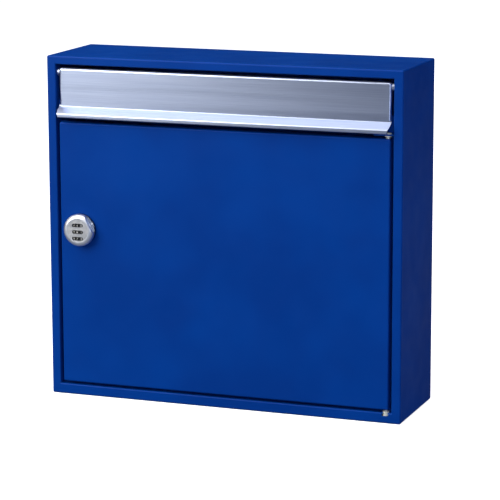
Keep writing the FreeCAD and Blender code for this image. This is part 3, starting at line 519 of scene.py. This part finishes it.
low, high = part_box("lock_housing")
centre = (low + high) / 2
reach = (high.x - low.x) / 2 - PIP_FROM_RIM_MM * MM
angle = math.radians(PIP_ANGLE)
r, h = PIP_RADIUS_MM * MM, PIP_HEIGHT_MM * MM
pip = as_mesh(turned([(0, h), (0.5 * r, 0.9 * h), (0.85 * r, 0.55 * h), (r, 0), (0, 0)], 24), "pip")
place = (centre.x + reach * math.cos(angle), low.y, centre.z + reach * math.sin(angle))
pip.transform(standing(place, (0, -1, 0)))
# The pale pip is a painted highlight on the flange's rim.
add_piece("lock_flange_highlight_pip", pip, "door", "satin_zinc")

# %% [markdown]
# ## Spot-weld marks
# The back panel is spot-welded to the case through its folded edges. Each weld leaves the round print of
# an electrode: a low ring about 5 mm across. They stand in rows, so Geometry Nodes lay them out: a line
# of points from one end to the other, a ring on each point turned to face out of the sheet, and at the
# end Realize Instances, because instances don't survive an export, and Set Material.

# %% Geometry Nodes tree for a row of weld marks
WELD_RADIUS_MM = 2.4
WELD_RIM_MM = 0.18


def weld_row_tree():
    tree = bpy.data.node_groups.new("weld_row", "GeometryNodeTree")
    sockets = {}
    wanted = {"Geometry": "Geometry", "Start": "Vector", "End": "Vector", "Out": "Vector", "Count": "Int"}
    for name, kind in wanted.items():
        sockets[name] = tree.interface.new_socket(name, in_out="INPUT", socket_type="NodeSocket" + kind)
    tree.interface.new_socket("Geometry", in_out="OUTPUT", socket_type="NodeSocketGeometry")
    given = add_node(tree, "NodeGroupInput").outputs
    ends = {"Count": given["Count"], "Start Location": given["Start"], "Offset": given["End"]}
    line = add_node(tree, "GeometryNodeMeshLine", ends, mode="END_POINTS").outputs["Mesh"]
    loop = {"Resolution": 20, "Radius": WELD_RADIUS_MM * MM}
    section = {"Resolution": 8, "Radius": WELD_RIM_MM * MM}
    path = add_node(tree, "GeometryNodeCurvePrimitiveCircle", loop)
    rim = add_node(tree, "GeometryNodeCurvePrimitiveCircle", section)
    both = {"Curve": path.outputs["Curve"], "Profile Curve": rim.outputs["Curve"]}
    ring = add_node(tree, "GeometryNodeCurveToMesh", both).outputs["Mesh"]
    facing = add_node(tree, "FunctionNodeAlignRotationToVector", {"Vector": given["Out"]}, axis="Z")
    inputs = {"Points": line, "Instance": ring, "Rotation": facing.outputs["Rotation"]}
    copies = add_node(tree, "GeometryNodeInstanceOnPoints", inputs).outputs["Instances"]
    real = add_node(tree, "GeometryNodeRealizeInstances", {"Geometry": copies}).outputs["Geometry"]
    inputs = {"Geometry": real, "Material": FINISHES["painted_steel"]}
    painted = add_node(tree, "GeometryNodeSetMaterial", inputs)
    add_node(tree, "NodeGroupOutput", {"Geometry": painted.outputs["Geometry"]})
    return tree, {name: socket.identifier for name, socket in sockets.items()}


weld_tree, weld_inputs = weld_row_tree()


def weld_row(start, end, out, count):
    """Plain mesh of one row of marks, made by the tree."""
    carrier = bpy.data.objects.new("welds", bpy.data.meshes.new("welds"))
    scene.collection.objects.link(carrier)
    modifier = carrier.modifiers.new("welds", "NODES")
    modifier.node_group = weld_tree
    for name, value in {"Start": start, "End": end, "Out": out, "Count": count}.items():
        modifier[weld_inputs[name]] = value
    mesh = bpy.data.meshes.new_from_object(carrier.evaluated_get(bpy.context.evaluated_depsgraph_get()))
    bpy.data.objects.remove(carrier)
    return mesh


# %% [markdown]
# The rows run along the four folded edges of the back panel, on the side that shows when the door is
# open. Their places come from the panel's own box: the sheet is 1 mm thick, and the marks lie on it.

# %% Rows of weld marks
SHEET_MM = 1.0
WELD_FROM_EDGE_MM = 5.5
WELD_END_MM = 24.0

low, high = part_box("back_panel")
y = low.y + WELD_FROM_EDGE_MM * MM
sheet = SHEET_MM * MM
inset = WELD_END_MM * MM
rows = []
for x, out in ((low.x + sheet, 1.0), (high.x - sheet, -1.0)):
    rows.append(weld_row((x, y, low.z + inset), (x, y, high.z - inset), (out, 0, 0), 6))
for z, out in ((low.z + sheet, 1.0), (high.z - sheet, -1.0)):
    rows.append(weld_row((low.x + inset, y, z), (high.x - inset, y, z), (0, 0, out), 6))
add_piece("back_panel_weld_marks", joined(rows, "weld_marks"), "case", "painted_steel")

# %% [markdown]
# ## Floor and light
# The box stands on a plain pale floor. A large soft light on the left gives the stainless flap its run
# from light to dark, one overhead lights the top and the finger lip, one on the right the side, and one
# behind the back. A small fill beside the camera reaches into the gaps round the door and the flap.
# In a studio the white sweep is lit by itself and black flags stand round the object, so that a glossy
# colour stays deep. Light Path does the same here: the floor and the surroundings look white to the
# camera, but the object gets only a dim blue from the surroundings and a dim grey from the floor, which
# is a little paler in a reflection.

# %% Floor
FLOOR_METRES = 14.0
FLOOR_BELOW_MM = 0.2  # just clear of the sheet, so that the two never flicker
FLOOR_FLAGGED = "#50545B"
FLOOR_MIRRORED = "#666C78"  # in a reflection
FLOOR_OWN_LIGHT = 0.80  # beside the box
SWEEP_STARTS = 0.4  # metres from the box, where the floor begins to whiten
SWEEP_ENDS = 2.5  # and where it is as white as the sweep behind it
SWEEP_OWN_LIGHT = 1.1

floor_mesh = bpy.data.meshes.new("studio_floor")
half = FLOOR_METRES / 2
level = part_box("case_shell")[0].z - FLOOR_BELOW_MM * MM
corners = [(x * half, y * half, level) for x, y in ((-1, -1), (1, -1), (1, 1), (-1, 1))]
floor_mesh.from_pydata(corners, [], [(0, 1, 2, 3)])
floor = bpy.data.objects.new("studio_floor", floor_mesh)
scene.collection.objects.link(floor)
floor_material, tree, shader = new_material("pale_matt_floor", Roughness=0.9, Specular_IOR_Level=0.1)
pale = blend_colours(tree, grain(tree, (400, 400, 400)), "#F2F3F4", "#F8F9FA")
ray = add_node(tree, "ShaderNodeLightPath").outputs
is_seen = ray["Is Camera Ray"]
inputs = {0: ray["Is Glossy Ray"], 6: linear(FLOOR_FLAGGED), 7: linear(FLOOR_MIRRORED)}
indirect = add_node(tree, "ShaderNodeMix", inputs, data_type="RGBA").outputs[2]
inputs = {0: is_seen, 6: indirect, 7: pale}
colour = add_node(tree, "ShaderNodeMix", inputs, data_type="RGBA").outputs[2]
tree.links.new(colour, shader.inputs["Base Color"])
tree.links.new(pale, shader.inputs["Emission Color"])
spot = add_node(tree, "ShaderNodeTexCoord").outputs["Object"]
away = add_node(tree, "ShaderNodeVectorMath", {0: spot}, operation="LENGTH").outputs["Value"]
ranged = {"Value": away, "From Min": SWEEP_STARTS, "From Max": SWEEP_ENDS}
ranged |= {"To Min": FLOOR_OWN_LIGHT, "To Max": SWEEP_OWN_LIGHT}
glow = add_node(tree, "ShaderNodeMapRange", ranged).outputs["Result"]
lit = add_node(tree, "ShaderNodeMath", {0: is_seen, 1: glow}, operation="MULTIPLY").outputs["Value"]
tree.links.new(lit, shader.inputs["Emission Strength"])
floor_mesh.materials.append(floor_material)

# %% Lights


def softbox(name, azimuth, elevation, distance, width, height, watts, colour):
    """Rectangular area light, seen from the box at these angles and facing it."""
    light = bpy.data.lights.new(name, "AREA")
    light.shape = "RECTANGLE"
    light.size = width
    light.size_y = height
    light.energy = watts
    light.color = linear(colour)[:3]
    lamp = bpy.data.objects.new(name, light)
    scene.collection.objects.link(lamp)
    out = direction(azimuth, elevation)
    lamp.location = out * distance
    lamp.rotation_euler = out.to_track_quat("Z", "Y").to_euler()
    lamp.visible_camera = False
    return lamp


KEY_WATTS = 27
OVERHEAD_WATTS = 42
RIGHT_WATTS = 17
FRONT_WATTS = 17
BACK_WATTS = 16
SKY_LOW = 0.03  # strength of the fill near the horizon
SKY_HIGH = 0.16  # and overhead
SKY_BLUE = "#A2B8F4"
SWEEP_WHITE = "#FFFFFF"

softbox("key_left", -41, 27, 1.7, 1.2, 1.2, KEY_WATTS, "#FFFAF0")
softbox("overhead", -10, 74, 2.2, 2.6, 2.2, OVERHEAD_WATTS, "#FFF4E2")
softbox("right_side", 86, 24, 2.4, 1.5, 1.5, RIGHT_WATTS, "#E8F0FF")
softbox("front_fill", 22, 9, 2.6, 0.9, 0.7, FRONT_WATTS, "#E0EAFF")
back = softbox("back", 190, 24, 2.6, 1.6, 1.2, BACK_WATTS, "#F0F5FF")
back.visible_glossy = False  # it would glare on the top sheet, which is seen at a shallow angle

world = bpy.data.worlds.new("studio")
scene.world = world
world.use_nodes = True
tree = world.node_tree
tree.nodes.clear()
inputs = {"Color": linear(SWEEP_WHITE), "Strength": 1.0}
seen = add_node(tree, "ShaderNodeBackground", inputs).outputs["Background"]
way = add_node(tree, "ShaderNodeTexCoord").outputs["Generated"]
height = add_node(tree, "ShaderNodeSeparateXYZ", {"Vector": way}).outputs["Z"]
ranged = {"Value": height, "To Min": SKY_LOW, "To Max": SKY_HIGH}
sky = add_node(tree, "ShaderNodeMapRange", ranged).outputs["Result"]
inputs = {"Color": linear(SKY_BLUE), "Strength": sky}
fill = add_node(tree, "ShaderNodeBackground", inputs).outputs["Background"]
is_seen = add_node(tree, "ShaderNodeLightPath").outputs["Is Camera Ray"]
both = add_node(tree, "ShaderNodeMixShader", {0: is_seen, 1: fill, 2: seen}).outputs["Shader"]
add_node(tree, "ShaderNodeOutputWorld", {"Surface": both})
scene.view_settings.view_transform = "Standard"
scene.view_settings.look = "None"
